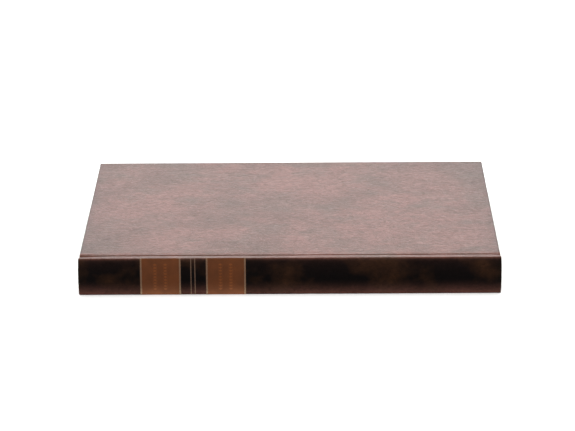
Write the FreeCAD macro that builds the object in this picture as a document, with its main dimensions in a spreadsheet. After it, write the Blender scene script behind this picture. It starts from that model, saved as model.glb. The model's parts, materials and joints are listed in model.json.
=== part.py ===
"""A hardback stamp album (stockbook) of twelve card leaves, lying closed on its back cover.

X runs along the spine, from the head (-X) to the tail (+X). -Y is the spine face and +Y the fore-edge. Z is up.
The origin is the bottom centre of the closed album's box. All sizes are in millimetres.

How it opens: the spine swings 90 degrees about the back joint until it lies flat, and the front cover turns a
further 90 degrees about the front joint. The leaves hinge on the tips of guard stubs that belong to the spine.
The stub tips lie on two lines at 45 degrees from the joints, which is what lets the leaves of each half lie flat
on their cover when the album is open. All leaves are alike: 1 is next to the front cover, 12 to the back cover.
"""

import FreeCAD, Part
import Sketcher
import math
import os
import re

V = FreeCAD.Vector
PARTS_FOLDER = "parts"
LEAVES = 12
HALF = LEAVES // 2
STRIP_ROWS = 9
TAPES = 4

# name, millimetres (or degrees), what it is
DIMENSIONS = [
    ("cover_length", 305.0, "cover, head to tail, with its leatherette"),
    ("album_depth", 230.0, "spine face to fore-edge of the closed album"),
    ("board_thickness", 2.4, "greyboard of the two covers"),
    ("skin_thickness", 0.4, "leatherette"),
    ("skin_round", 0.8, "radius of the covers' outer edges"),
    ("turn_in", 15.0, "leatherette folded over onto the inside"),
    ("pastedown_thickness", 0.2, "paper lining of the covers"),
    ("pastedown_margin", 4.0, "leatherette left showing round the pastedown"),
    ("flyleaf_thickness", 0.25, "free endpaper"),
    ("paper_gap", 0.05, "air between two sheets that lie on each other"),
    ("flyleaf_room", 0.4, "height kept for the flyleaf between cover and leaves"),
    ("spine_board_thickness", 2.2, "spine stiffener at its crown"),
    ("spine_crown", 0.8, "how far the spine face bulges over its height"),
    ("spine_round", 1.0, "radius of the spine's long edges"),
    ("spine_extra", 0.7, "spine past the covers, at head and at tail"),
    ("spine_shy", 0.2, "spine's long edges inside the cover faces"),
    ("joint_setback", 10.5, "spine face to the covers' inner edges"),
    ("groove_depth", 1.5, "French joint below the cover face"),
    ("groove_slope", 1.2, "width of each of the groove's sloping sides"),
    ("ridge_width", 1.2, "flat shoulder between spine and groove"),
    ("pivot_inset", 2.2, "joint axes, in from the outermost spine and cover faces"),
    ("page_square", 5.0, "cover showing past the leaves on three sides"),
    ("card_thickness", 0.9, "stock card of a leaf"),
    ("card_corner", 3.0, "rounded fore-edge corners of a leaf"),
    ("card_start", 1.8, "card edge, in from the middle leaves' hinges"),
    ("strip_thickness", 0.15, "glassine pocket strip"),
    ("strip_height", 25.0, "glassine pocket strip"),
    ("strip_inner_margin", 9.0, "card between its inner edge and the strips"),
    ("strip_outer_margin", 3.0, "card between the strips and the fore-edge"),
    ("row_margin", 5.0, "card above the first row and below the last"),
    ("interleaf_thickness", 0.08, "glassine sheet behind each leaf"),
    ("interleaf_inset", 1.0, "interleaf smaller than the card on three sides"),
    ("stamp_room", 0.37, "room for stamps and air at each leaf"),
    ("hinge_rise", 0.3, "lift of the leaves from their stack when the album is open"),
    ("stub_thickness", 1.2, "card guard that carries a leaf's hinge"),
    ("stub_gap", 0.3, "stub tip short of the hinge line"),
    ("linen_thickness", 0.3, "linen hinge of a leaf"),
    ("hollow_thickness", 0.55, "kraft liner between spine board and block"),
    ("mull_thickness", 0.25, "open cotton glued to the block's back"),
    ("mull_margin", 18.0, "block left bare of mull at head and tail"),
    ("tape_thickness", 0.2, "linen sewing tape"),
    ("tape_width", 12.0, "linen sewing tape"),
    ("tape_margin", 38.0, "first and last tape, in from head and tail of the block"),
    ("headband_bead", 2.0, "diameter of the headband's bead"),
    ("headband_tail", 4.0, "headband cloth glued down along the block's back"),
    ("label_thickness", 0.1, "leather label on the spine"),
    ("foil_thickness", 0.04, "gilt line"),
    ("label_shy", 1.2, "label edge, in from the spine's long edges"),
    ("upper_label_start", 44.9, "head of the spine to the upper label"),
    ("upper_label_width", 29.4, "upper label along the spine"),
    ("lower_label_start", 92.6, "head of the spine to the lower label"),
    ("lower_label_width", 28.8, "lower label along the spine"),
    ("border_line", 1.2, "gilt line along a label's edge"),
    ("thin_line", 0.6, "gilt line between the labels"),
    ("thin_line_start", 81.4, "head of the spine to the first thin line"),
    ("thin_line_pitch", 2.9, "one thin line to the next"),
]

# Sizes and places that follow from the ones above.
FITS = [
    ("cover", "2 * skin_thickness + board_thickness + pastedown_thickness"),
    ("leaf_pitch", "card_thickness + 2 * strip_thickness + interleaf_thickness + paper_gap + stamp_room"),
    ("block_base", "cover + flyleaf_room"),
    ("block_height", f"{LEAVES} * leaf_pitch"),
    ("block_top", "block_base + block_height"),
    ("album_height", "block_top + block_base"),
    ("half_length", "cover_length / 2"),
    ("fore_edge", "album_depth / 2"),
    ("face", "label_thickness + foil_thickness - album_depth / 2"),
    ("board_edge", "face + joint_setback"),
    ("spine_half_length", "half_length + spine_extra"),
    ("spine_half_height", "album_height / 2 - spine_shy"),
    ("crown_radius", "(spine_half_height ^ 2 + spine_crown ^ 2) / (2 * spine_crown)"),
    ("spine_inside", "face + skin_thickness + spine_board_thickness"),
    ("spine_back", "spine_inside + hollow_thickness"),
    ("block_back", "spine_back + tape_thickness + mull_thickness"),
    ("pivot_y", "pivot_inset - album_depth / 2"),
    ("middle_hinge_y", "pivot_y + (album_height - leaf_pitch) / 2 - pivot_inset + hinge_rise"),
    ("card_edge", "middle_hinge_y + card_start"),
    ("page_half_length", "half_length - page_square"),
    ("page_fore_edge", "fore_edge - page_square"),
    ("row_pitch", f"2 * (page_half_length - row_margin) / {STRIP_ROWS}"),
]

doc = FreeCAD.newDocument("stamp_album")
sheet = doc.addObject("Spreadsheet::Sheet", "dims")
for row, (name, value, meaning) in enumerate(DIMENSIONS, start=1):
    sheet.set(f"A{row}", meaning)
    sheet.set(f"B{row}", str(value))
    sheet.setAlias(f"B{row}", name)
doc.recompute()

fits = doc.addObject("App::VarSet", "fits")
HOME = {name: "dims" for name, _, _ in DIMENSIONS} | {name: "fits" for name, _ in FITS}


def formula(text):
    """An expression that FreeCAD can read: each name gets the object that holds it in front."""
    return re.sub(r"[a-z]\w+", lambda m: f"{HOME[m[0]]}.{m[0]}" if m[0] in HOME else m[0], text)


for name, text in FITS:
    fits.addProperty("App::PropertyFloat", name, "Fits")
    fits.setExpression(name, formula(text))
    doc.recompute()


probe = doc.addObject("App::VarSet", "probe")
probe.addProperty("App::PropertyFloat", "value", "Probe")


def number(text):
    """The value of a formula, worked out by the document."""
    probe.setExpression("value", formula(text))
    probe.recompute()
    return probe.value


def bind(item, values):
    """Ties properties of an object to formulas."""
    for prop, text in values.items():
        item.setExpression(prop, formula(text))


def named(item, label):
    item.Label = label
    return item


# ---------------------------------------------------------------- builders


def plate(label, x, y, z):
    """A flat cut sheet: x, y and z are each a pair of formulas, low and high."""
    box = named(doc.addObject("Part::Box", label), label)
    for (low, high), side, axis in zip((x, y, z), ("Length", "Width", "Height"), "xyz"):
        bind(box, {side: f"({high}) - ({low})", f"Placement.Base.{axis}": low})
    return box


def along(half):
    """A pair of formulas that reach as far to the head as to the tail."""
    return (f"-({half})", half)


def group(label, items):
    """Separate like solids that share one node."""
    compound = named(doc.addObject("Part::Compound", label), label)
    compound.Links = items
    return compound


def new_body(label):
    return named(doc.addObject("PartDesign::Body", label), label)


def sketch_on(body, role, name, offset=None):
    """A sketch on one of the body's own planes, moved along its normal by a formula."""
    sketch = body.newObject("Sketcher::SketchObject", name)
    plane = next(f for f in body.Origin.OriginFeatures if f.Role == role)
    sketch.AttachmentSupport = [(plane, "")]
    sketch.MapMode = "FlatFace"
    if offset:
        bind(sketch, {"AttachmentOffset.Base.z": offset})
    doc.recompute()
    return sketch


def pin(sketch, kind, geometry, text, point=None):
    """Fixes a radius, or one coordinate of a point (1 start, 2 end, 3 centre), by a formula."""
    where = (geometry,) if point is None else (-1, 1, geometry, point)
    index = sketch.addConstraint(Sketcher.Constraint(kind, *where, number(text)))
    sketch.setExpression(f"Constraints[{index}]", formula(text))


def pin_point(sketch, geometry, point, place):
    for kind, text in zip(("DistanceX", "DistanceY"), place):
        pin(sketch, kind, geometry, text, point)


def join(sketch, *pairs):
    """Makes the points of each pair (geometry, point, geometry, point) one."""
    for pair in pairs:
        sketch.addConstraint(Sketcher.Constraint("Coincident", *pair))


def line(sketch, start, end):
    return sketch.addGeometry(Part.LineSegment(start, end))


def outline(sketch, corners):
    """Straight edges through corners, each given as two formulas."""
    points = [V(number(a), number(b), 0) for a, b in corners]
    count = len(points)
    for i in range(count):
        line(sketch, points[i], points[(i + 1) % count])
    for i in range(count):
        join(sketch, (i, 2, (i + 1) % count, 1))
        pin_point(sketch, i, 1, corners[i])


def rectangle(sketch, a, b):
    """A rectangle between the low and high formulas a along the sketch's X and b along its Y."""
    outline(sketch, [(a[0], b[0]), (a[1], b[0]), (a[1], b[1]), (a[0], b[1])])


CROWN_CENTRE = ("face + crown_radius", "album_height / 2")


def crown_arc(sketch, radius, half_height):
    """An arc about the crown's centre, from the top of the spine's face to the bottom."""
    swing = math.asin(number(half_height) / number(radius))
    circle = Part.Circle(V(*map(number, CROWN_CENTRE), 0), V(0, 0, 1), number(radius))
    index = sketch.addGeometry(Part.ArcOfCircle(circle, math.pi - swing, math.pi + swing))
    pin_point(sketch, index, 3, CROWN_CENTRE)
    pin(sketch, "Radius", index, radius)
    pin(sketch, "DistanceY", index, f"album_height / 2 + ({half_height})", 1)
    pin(sketch, "DistanceY", index, f"album_height / 2 - ({half_height})", 2)
    return index


def crowned_block(sketch, inset, inside, half_height):
    """The spine's section: flat inside and flat edges, and a face that follows the crown, inset from it."""
    arc = crown_arc(sketch, f"crown_radius - {inset}", half_height)
    ends = [sketch.Geometry[arc].StartPoint, sketch.Geometry[arc].EndPoint]
    corners = [(inside, f"album_height / 2 + ({half_height})"), (inside, f"album_height / 2 - ({half_height})")]
    top, bottom = (V(number(y), number(z), 0) for y, z in corners)
    edges = [line(sketch, ends[0], top), line(sketch, top, bottom), line(sketch, bottom, ends[1])]
    join(sketch, (arc, 1, edges[0], 1), (edges[0], 2, edges[1], 1), (edges[1], 2, edges[2], 1),
         (edges[2], 2, arc, 2))
    for edge, corner in zip(edges, corners):
        pin_point(sketch, edge, 2, corner)


def crowned_sheet(sketch, lift, thickness, half_height):
    """The section of a sheet that follows the crown, lifted off it."""
    arcs = [crown_arc(sketch, f"crown_radius + {lift}", half_height),
            crown_arc(sketch, f"crown_radius + {lift} + {thickness}", half_height)]
    inner, outer = (sketch.Geometry[arc] for arc in arcs)
    for point, pair in ((1, (inner.StartPoint, outer.StartPoint)), (2, (inner.EndPoint, outer.EndPoint))):
        edge = line(sketch, *pair)
        join(sketch, (arcs[0], point, edge, 1), (arcs[1], point, edge, 2))


def pad(body, sketch, length, both_ways=False):
    feature = body.newObject("PartDesign::Pad", f"{body.Name}_pad")
    feature.Profile = sketch
    feature.Midplane = both_ways
    bind(feature, {"Length": length})
    doc.recompute()
    return feature


def pocket(body, sketch, length, both_ways=False, reverse=False):
    """Cuts, and stops the build if nothing was cut."""
    before = body.Shape.Volume
    feature = body.newObject("PartDesign::Pocket", f"{body.Name}_pocket")
    feature.Profile = sketch
    feature.Midplane = both_ways
    feature.Reversed = reverse
    bind(feature, {"Length": length})
    doc.recompute()
    if not body.Shape.Volume < before - 1e-6:
        raise RuntimeError(f"the pocket in {body.Label} cut nothing")
    return feature


def fillet(body, wanted, radius):
    """Rounds the edges of the body for which wanted(edge) is true."""
    names = [f"Edge{i}" for i, edge in enumerate(body.Shape.Edges, start=1) if wanted(edge)]
    base = body.Tip
    feature = body.newObject("PartDesign::Fillet", f"{body.Name}_fillet")
    feature.Base = (base, names)
    bind(feature, {"Radius": radius})
    doc.recompute()
    return feature


def runs_along(edge, axis):
    """True if a straight edge is parallel to an axis, given as 0, 1 or 2."""
    ends = [v.Point for v in edge.Vertexes]
    return len(ends) == 2 and all(abs(ends[0][k] - ends[1][k]) < 1e-6 for k in range(3) if k != axis)


def at(edge, axis, value):
    """True if the whole edge has this coordinate."""
    return all(abs(v.Point[axis] - value) < 1e-6 for v in edge.Vertexes)


# ---------------------------------------------------------------- covers

# For each cover: its outer face, and which way is in.
COVERS = {"back": ("0", 1), "front": ("album_height", -1)}


def level(side, depth):
    """The height at a depth below a cover's outer face."""
    outer, inward = COVERS[side]
    return f"{outer} + ({depth})" if inward > 0 else f"{outer} - ({depth})"


def span(side, near, far):
    """A pair of heights, low and high, between two depths below a cover's outer face."""
    pair = (level(side, near), level(side, far))
    return pair if COVERS[side][1] > 0 else pair[::-1]


def cover_board(side):
    """Greyboard, cut from the sheet."""
    body = new_body(f"{side}_board")
    base, _ = span(side, "skin_thickness", "skin_thickness + board_thickness")
    sketch = sketch_on(body, "XY_Plane", f"{side}_board_outline", base)
    rectangle(sketch, along("half_length - skin_thickness"), ("board_edge", "fore_edge - skin_thickness"))
    pad(body, sketch, "board_thickness")
    return body


def cover_leatherette(side):
    """Leatherette round one cover: face, three wrapped edges and the turn-ins on the inside."""
    body = new_body(f"{side}_leatherette")
    whole = "2 * skin_thickness + board_thickness"
    base, _ = span(side, "0", whole)
    block = sketch_on(body, "XY_Plane", f"{side}_leatherette_outline", base)
    rectangle(block, along("half_length"), ("board_edge", "fore_edge"))
    pad(body, block, whole)
    outer = number(level(side, "0"))
    joint_side = number("board_edge")
    fillet(body, lambda e: at(e, 2, outer) and not at(e, 1, joint_side), "skin_round")
    slot = sketch_on(body, "XZ_Plane", f"{side}_board_slot", "-(fore_edge - skin_thickness)")
    low, high = span(side, "skin_thickness", "skin_thickness + board_thickness")
    rectangle(slot, along("half_length - skin_thickness"), (low, high))
    pocket(body, slot, "fore_edge - skin_thickness - board_edge", reverse=True)
    _, top = span(side, "skin_thickness + board_thickness", whole)
    window = sketch_on(body, "XY_Plane", f"{side}_window", top)
    rectangle(window, along("half_length - turn_in"), ("board_edge", "fore_edge - turn_in"))
    pocket(body, window, "skin_thickness")
    return body


def pastedown(side):
    """Lining paper over the turn-ins, with the infill that makes up their thickness."""
    sheet_z = span(side, "2 * skin_thickness + board_thickness", "cover")
    fill_z = span(side, "skin_thickness + board_thickness", "2 * skin_thickness + board_thickness")
    top = plate(f"{side}_lining", along("half_length - pastedown_margin"),
                ("board_edge", "fore_edge - pastedown_margin"), sheet_z)
    fill = plate(f"{side}_infill", along("half_length - turn_in"), ("board_edge", "fore_edge - turn_in"), fill_z)
    fused = named(doc.addObject("Part::Fuse", f"{side}_pastedown"), f"{side}_pastedown")
    fused.Base = top
    fused.Tool = fill
    return fused


def flyleaf(side):
    """Free endpaper, lying on the pastedown."""
    z = span(side, "cover + paper_gap", "cover + paper_gap + flyleaf_thickness")
    return plate(f"{side}_flyleaf", along("page_half_length"), ("board_edge", "page_fore_edge"), z)


def joint_leatherette(side):
    """The flexible joint: a shoulder at the spine, the French groove, and the rise to the cover's face."""
    body = new_body(f"{side}_joint")
    start = "spine_inside + skin_thickness"
    shoulder = f"{start} + ridge_width"
    path = [(start, "spine_shy"), (shoulder, "spine_shy"), (f"{shoulder} + groove_slope", "groove_depth"),
            ("board_edge - groove_slope", "groove_depth"), ("board_edge", "0")]
    outside = [(y, level(side, depth)) for y, depth in path]
    inside = [(y, level(side, f"{depth} + skin_thickness")) for y, depth in reversed(path)]
    sketch = sketch_on(body, "YZ_Plane", f"{side}_joint_section")
    outline(sketch, outside + inside)
    pad(body, sketch, "cover_length", both_ways=True)
    return body


# ---------------------------------------------------------------- spine


def spine_board():
    """Curved stiffener that fills the spine's leatherette."""
    body = new_body("spine_board")
    sketch = sketch_on(body, "YZ_Plane", "spine_board_section")
    crowned_block(sketch, "skin_thickness", "spine_inside", "spine_half_height - skin_thickness")
    pad(body, sketch, "2 * (spine_half_length - skin_thickness)", both_ways=True)
    return body


def spine_leatherette():
    """Leatherette round the spine board, turned in at head and tail."""
    body = new_body("spine_leatherette")
    section = sketch_on(body, "YZ_Plane", "spine_section")
    crowned_block(section, "0", "spine_inside + skin_thickness", "spine_half_height")
    pad(body, section, "2 * spine_half_length", both_ways=True)
    crown_edge = number("face + spine_crown")
    fillet(body, lambda e: runs_along(e, 0) and at(e, 1, crown_edge), "spine_round")
    slot = sketch_on(body, "YZ_Plane", "spine_slot")
    crowned_block(slot, "skin_thickness", "spine_inside", "spine_half_height - skin_thickness")
    pocket(body, slot, "2 * (spine_half_length - skin_thickness)", both_ways=True)
    window = sketch_on(body, "XZ_Plane", "spine_window", "-(spine_inside + skin_thickness)")
    rectangle(window, along("spine_half_length - turn_in"),
              ("spine_shy + skin_thickness", "album_height - spine_shy - skin_thickness"))
    pocket(body, window, "skin_thickness", reverse=True)
    return body


def on_crown(label, start, width, lift, thickness):
    """A thin patch that follows the spine's face: its start and width along the spine, lift and thickness."""
    body = new_body(label)
    sketch = sketch_on(body, "YZ_Plane", f"{label}_section", f"{start} - spine_half_length")
    crowned_sheet(sketch, lift, thickness, "spine_half_height - label_shy")
    pad(body, sketch, width)
    return body


def spine_labels():
    return [on_crown(f"spine_label_{name}", f"{name}_label_start", f"{name}_label_width", "0", "label_thickness")
            for name in ("upper", "lower")]


def gilt_lines():
    """A border line along both edges of each label, and two thin lines on the leatherette between them."""
    lines = []
    for name in ("upper", "lower"):
        start = f"{name}_label_start"
        for offset in ("0", f"{name}_label_width - border_line"):
            lines.append(on_crown(f"line_{len(lines) + 1}", f"{start} + {offset}", "border_line",
                                  "label_thickness", "foil_thickness"))
    for k in range(2):
        lines.append(on_crown(f"line_{len(lines) + 1}", f"thin_line_start + {k} * thin_line_pitch", "thin_line",
                              "0", "foil_thickness"))
    return group("gilt_lines", lines)


# ---------------------------------------------------------------- leaves


def leaf_level(leaf):
    """Height of a leaf's middle plane."""
    return f"block_top - {leaf - 0.5} * leaf_pitch"


def hinge_y(leaf):
    """Where a leaf hinges: further from the spine by one pitch for each leaf nearer the middle."""
    from_middle = HALF - leaf if leaf <= HALF else leaf - HALF - 1
    return f"middle_hinge_y - {from_middle} * leaf_pitch"


def leaf_card(leaf):
    body = new_body(f"leaf_{leaf:02d}_card")
    sketch = sketch_on(body, "XY_Plane", f"leaf_{leaf:02d}_outline", f"{leaf_level(leaf)} - card_thickness / 2")
    rectangle(sketch, along("page_half_length"), ("card_edge", "page_fore_edge"))
    pad(body, sketch, "card_thickness")
    fore_edge = number("page_fore_edge")
    fillet(body, lambda e: runs_along(e, 2) and at(e, 1, fore_edge), "card_corner")
    return body


def leaf_strips(leaf):
    """Nine pocket strips on each side of a leaf."""
    body = new_body(f"leaf_{leaf:02d}_strips")
    body.AllowCompound = True
    x_axis = next(f for f in body.Origin.OriginFeatures if f.Role == "X_Axis")
    first_foot = "row_margin + row_pitch - page_half_length"
    faces = {"front": f"{leaf_level(leaf)} + card_thickness / 2",
             "back": f"{leaf_level(leaf)} - card_thickness / 2 - strip_thickness"}
    for face, base in faces.items():
        sketch = sketch_on(body, "XY_Plane", f"leaf_{leaf:02d}_{face}_strip", base)
        rectangle(sketch, (f"{first_foot} - strip_height", first_foot),
                  ("card_edge + strip_inner_margin", "page_fore_edge - strip_outer_margin"))
        strip = pad(body, sketch, "strip_thickness")
        rows = body.newObject("PartDesign::LinearPattern", f"leaf_{leaf:02d}_{face}_rows")
        rows.Originals = [strip]
        rows.Direction = (x_axis, [""])
        rows.Mode = "Spacing"
        rows.Occurrences = STRIP_ROWS
        bind(rows, {"Offset": "row_pitch"})
        body.Tip = rows
        doc.recompute()
    return body


def leaf_interleaf(leaf):
    """Glassine sheet behind the leaf, which keeps its stamps off those of the next one."""
    top = f"{leaf_level(leaf)} - card_thickness / 2 - strip_thickness - paper_gap"
    return plate(f"leaf_{leaf:02d}_interleaf", along("page_half_length - interleaf_inset"),
                 ("card_edge", "page_fore_edge - interleaf_inset"), (f"{top} - interleaf_thickness", top))


# ---------------------------------------------------------------- block back


def guard_stubs():
    """Card guards stacked on the block's back. Each one is as wide as its leaf's hinge needs."""
    stubs = []
    for leaf in range(1, LEAVES + 1):
        z = (f"{leaf_level(leaf)} - stub_thickness / 2", f"{leaf_level(leaf)} + stub_thickness / 2")
        stubs.append(plate(f"stub_{leaf:02d}", along("page_half_length"),
                           ("block_back", f"{hinge_y(leaf)} - stub_gap"), z))
    return group("guard_stubs", stubs)


def linen_hinges():
    """Linen from the tip of each stub to the edge of its card."""
    hinges = []
    for leaf in range(1, LEAVES + 1):
        z = (f"{leaf_level(leaf)} - linen_thickness / 2", f"{leaf_level(leaf)} + linen_thickness / 2")
        hinges.append(plate(f"linen_{leaf:02d}", along("page_half_length - interleaf_inset"),
                            (f"{hinge_y(leaf)} - stub_gap", "card_edge"), z))
    return group("linen_hinges", hinges)


def sewing_tapes():
    """Linen tapes across the block's back."""
    tapes = []
    spacing = f"2 * (page_half_length - tape_margin) / {TAPES - 1}"
    for k in range(TAPES):
        middle = f"tape_margin - page_half_length + {k} * ({spacing})"
        tapes.append(plate(f"tape_{k + 1}", (f"{middle} - tape_width / 2", f"{middle} + tape_width / 2"),
                           ("spine_back + mull_thickness", "block_back"), ("block_base", "block_top")))
    return group("sewing_tapes", tapes)


def mull_lining():
    return plate("mull_lining", along("page_half_length - mull_margin"),
                 ("spine_back", "spine_back + mull_thickness"), ("block_base", "block_top"))


def kraft_liner():
    return plate("kraft_liner", along("spine_half_length - turn_in"), ("spine_inside", "spine_back"),
                 ("block_base", "block_top"))


def headband(end, outward):
    """A corded bead across the end of the block, with the cloth that holds it."""
    label = f"headband_{end}"
    bead = doc.addObject("Part::Cylinder", f"{label}_bead")
    bind(bead, {"Radius": "headband_bead / 2", "Height": "block_height",
                "Placement.Base.x": f"{outward} * (page_half_length + headband_bead / 2)",
                "Placement.Base.y": "block_back + headband_bead / 2",
                "Placement.Base.z": "block_base"})
    edge = f"{outward} * (page_half_length - headband_tail)"
    tip = f"{outward} * (page_half_length + headband_bead / 2)"
    x = (tip, edge) if outward < 0 else (edge, tip)
    cloth = plate(f"{label}_cloth", x, ("block_back - tape_thickness", "block_back"), ("block_base", "block_top"))
    fused = named(doc.addObject("Part::Fuse", label), label)
    fused.Base = bead
    fused.Tool = cloth
    return fused


# ---------------------------------------------------------------- assembly

nodes = []
for side in COVERS:
    nodes += [cover_board(side), cover_leatherette(side), pastedown(side), flyleaf(side), joint_leatherette(side)]
nodes += [spine_board(), spine_leatherette(), *spine_labels(), gilt_lines()]
nodes += [kraft_liner(), mull_lining(), sewing_tapes(), guard_stubs(), linen_hinges()]
nodes += [headband("head", -1), headband("tail", 1)]
for leaf in range(1, LEAVES + 1):
    nodes += [leaf_card(leaf), leaf_strips(leaf), leaf_interleaf(leaf)]
doc.recompute()

for item in doc.Objects:
    if {"Invalid", "Error"} & set(item.State):
        raise RuntimeError(f"{item.Label} failed: {item.State}")
for node in nodes:
    if node.Shape.isNull() or not node.Shape.isValid() or not node.Shape.Solids:
        raise RuntimeError(f"{node.Label} has no valid solid")

os.makedirs(PARTS_FOLDER, exist_ok=True)
for node in nodes:
    node.Shape.exportStep(os.path.join(PARTS_FOLDER, node.Label + ".step"))
print(f"{len(nodes)} nodes, album height {number('album_height'):.2f} mm, row pitch {number('row_pitch'):.2f} mm")
for leaf in range(1, LEAVES + 1):
    print(f"leaf {leaf}: hinge y {number(hinge_y(leaf)):.3f}, z {number(leaf_level(leaf)):.3f}")
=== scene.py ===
"""A stamp album bound in marbled leatherette: the visible surfaces, built round its CAD frame."""

import functools
import json
import math

import bmesh
import bpy
import numpy as np
from bpy.props import FloatProperty, FloatVectorProperty, PointerProperty
from mathutils import Matrix, Vector, noise

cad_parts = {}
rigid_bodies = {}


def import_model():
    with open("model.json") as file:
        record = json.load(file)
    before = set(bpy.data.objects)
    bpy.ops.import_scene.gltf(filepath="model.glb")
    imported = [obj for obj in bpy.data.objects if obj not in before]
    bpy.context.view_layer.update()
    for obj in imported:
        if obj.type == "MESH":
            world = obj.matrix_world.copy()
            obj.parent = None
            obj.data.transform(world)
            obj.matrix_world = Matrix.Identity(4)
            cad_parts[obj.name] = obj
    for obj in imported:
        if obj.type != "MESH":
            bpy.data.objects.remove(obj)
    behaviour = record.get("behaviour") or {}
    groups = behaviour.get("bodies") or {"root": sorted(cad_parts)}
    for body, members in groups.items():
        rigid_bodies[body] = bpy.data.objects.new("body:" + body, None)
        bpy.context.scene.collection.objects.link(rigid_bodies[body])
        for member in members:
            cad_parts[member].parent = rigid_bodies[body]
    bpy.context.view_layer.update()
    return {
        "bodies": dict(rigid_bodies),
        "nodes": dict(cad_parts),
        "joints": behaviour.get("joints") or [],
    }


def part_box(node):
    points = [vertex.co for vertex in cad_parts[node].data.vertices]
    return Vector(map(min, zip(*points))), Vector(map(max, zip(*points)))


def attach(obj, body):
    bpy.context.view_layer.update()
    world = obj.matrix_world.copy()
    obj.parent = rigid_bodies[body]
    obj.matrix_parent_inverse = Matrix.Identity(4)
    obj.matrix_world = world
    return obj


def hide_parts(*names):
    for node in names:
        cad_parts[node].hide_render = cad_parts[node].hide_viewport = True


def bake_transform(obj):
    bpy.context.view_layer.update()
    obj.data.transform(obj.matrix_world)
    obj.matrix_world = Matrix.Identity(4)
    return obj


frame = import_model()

bl_info = {
    "name": "Stamp Album",
    "version": (1, 0, 0),
    "blender": (4, 5, 0),
    "location": "3D View > Sidebar > Stamp Album",
    "description": "Builds the leatherette binding, labels, leaves and stage of a stamp album",
    "category": "Object",
}

MM = 0.001
BOX = {name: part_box(name) for name in frame["nodes"]}
HINGE = {joint["child"]: Vector(joint["pos_m"]) for joint in frame["joints"]}
LEAVES = sorted(name for name in frame["bodies"] if name.startswith("leaf_"))

COVER_LOW, COVER_HIGH = BOX["front_leatherette"]
BOARD_EDGE = COVER_LOW.y
ALBUM_HEIGHT = COVER_HIGH.z
MIDDLE = ALBUM_HEIGHT / 2
COVER_DEPTH = COVER_HIGH.z - COVER_LOW.z
EDGE_DROP = 0.12 * MM           # how far a cover's face rounds down where it meets the joint
LEATHERETTE = 0.4 * MM          # its thickness
NO_SIZE = 1e-9                  # stands in for a distance of 0 that something is divided by
SPINE_LOW, SPINE_HIGH = BOX["spine_leatherette"]
WAVE_REPEAT = math.pi / 10      # a wave texture's bands repeat at this distance when its scale is 1


def linear(code):
    """An sRGB hex colour as linear red, green, blue and alpha."""
    parts = [int(code[i:i + 2], 16) / 255 for i in (0, 2, 4)]
    return tuple(c / 12.92 if c <= 0.04045 else ((c + 0.055) / 1.055) ** 2.4 for c in parts) + (1.0,)


def amount(name, description, default, unit):
    return FloatProperty(name=name, description=description, default=default, unit=unit, precision=5)


def length(name, description, default):
    return amount(name, description, default, "LENGTH")


def colour(name, description, code):
    return FloatVectorProperty(name=name, description=description, default=linear(code)[:3], size=3,
                               subtype="COLOR", min=0, max=1)


# ------------ settings


class AlbumCovers(bpy.types.PropertyGroup):
    """Covers and joints"""

    dark: colour("Dark marbling", "Leatherette where the print is darkest", "4d3229")
    warm: colour("Warm marbling", "Leatherette where the print is warmest", "613e36")
    grey: colour("Grey marbling", "Leatherette where the print turns grey", "4c382f")
    # the next two colours are painted shade: the print darkened nearly black on the spine and over the
    # boards' edges
    painted_shade: colour("Painted shade", "Leatherette on the spine and over the boards' edges", "030101")
    painted_shade_warm: colour("Burnished, warm", "The same, where the print is warmest", "28160a")
    patch: length("Marbling patch", "Width of the marbling's large patches", 50 * MM)
    crease: length("Crease", "Width of the embossed creases", 3.4 * MM)
    grain: length("Grain", "Width of one embossed grain", 0.9 * MM)
    edge_round: length("Edge rounding", "Radius of leatherette over a board's edge", 0.7 * MM)
    corner_round: length("Corner rounding", "Radius of a cover's corners, seen from above", 1.1 * MM)
    groove: length("Groove depth", "French joint below the cover's face", 0.64 * MM)


class AlbumSpine(bpy.types.PropertyGroup):
    """Spine, labels and gilt lines"""

    edge_round: length("Edge rounding", "Radius of the spine's long edges", 0.8 * MM)
    end_bulge: length("End bulge", "How far head and tail caps swell at mid height", 0.35 * MM)
    label: colour("Label", "Tan leather of the labels", "51280a")
    # painted light: the label paler towards the spine's foot, a painted reflection of the floor
    label_painted_light: colour("Label, faded", "Tan leather where the label has faded", "8a5638")
    gilt: colour("Gilt", "Gilt foil of the lines", "634733")
    # painted highlight: the foil brighter towards the spine's foot, a painted reflection of the floor
    gilt_painted_light: colour("Gilt, bright", "Gilt foil where it shines most", "a88a6c")
    lozenge: length("Tooled lozenge", "Length of one blind-tooled lozenge", 3.4 * MM)


class AlbumBlock(bpy.types.PropertyGroup):
    """Leaves and everything that holds them"""

    card: colour("Stock card", "Cream card of the leaves", "bdb39a")
    paper: colour("Endpaper", "Paper of linings and flyleaves", "c3baa5")
    glassine: colour("Glassine", "Pocket strips and interleaves", "b9c2ba")
    linen: colour("Linen", "Hinges and tapes", "c2baa6")
    wrap: length("Linen wrap", "Linen glued down on a card", 7.5 * MM)
    lift: length("Pocket lift", "How far a pocket's mouth stands open", 0.09 * MM)


class AlbumStage(bpy.types.PropertyGroup):
    """Floor, lights and camera"""

    floor: colour("Floor", "Pale floor", "f8f8f7")
    top_light: amount("Top light", "Power of the softbox overhead", 31, "POWER")
    back_light: amount("Back light", "Power of the softbox behind", 81, "POWER")
    surround: amount("Surround", "Brightness of the white studio around", 0.36, "NONE")
    focal: amount("Focal length", "Lens in millimetres", 174.02, "CAMERA")
    camera_height: length("Camera height", "Above the floor", 698.4 * MM)
    camera_back: length("Camera distance", "From the album's middle, towards the spine side", 2006.2 * MM)
    camera_side: length("Camera offset", "From the album's middle, towards its foot", 13.4 * MM)
    pitch: amount("Pitch", "How far the camera looks down", math.radians(18.638), "ROTATION")
    yaw: amount("Yaw", "How far the camera turns to its left", math.radians(0.445), "ROTATION")
    roll: amount("Roll", "How far the camera leans", math.radians(-0.444), "ROTATION")


# ------------ materials

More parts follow.
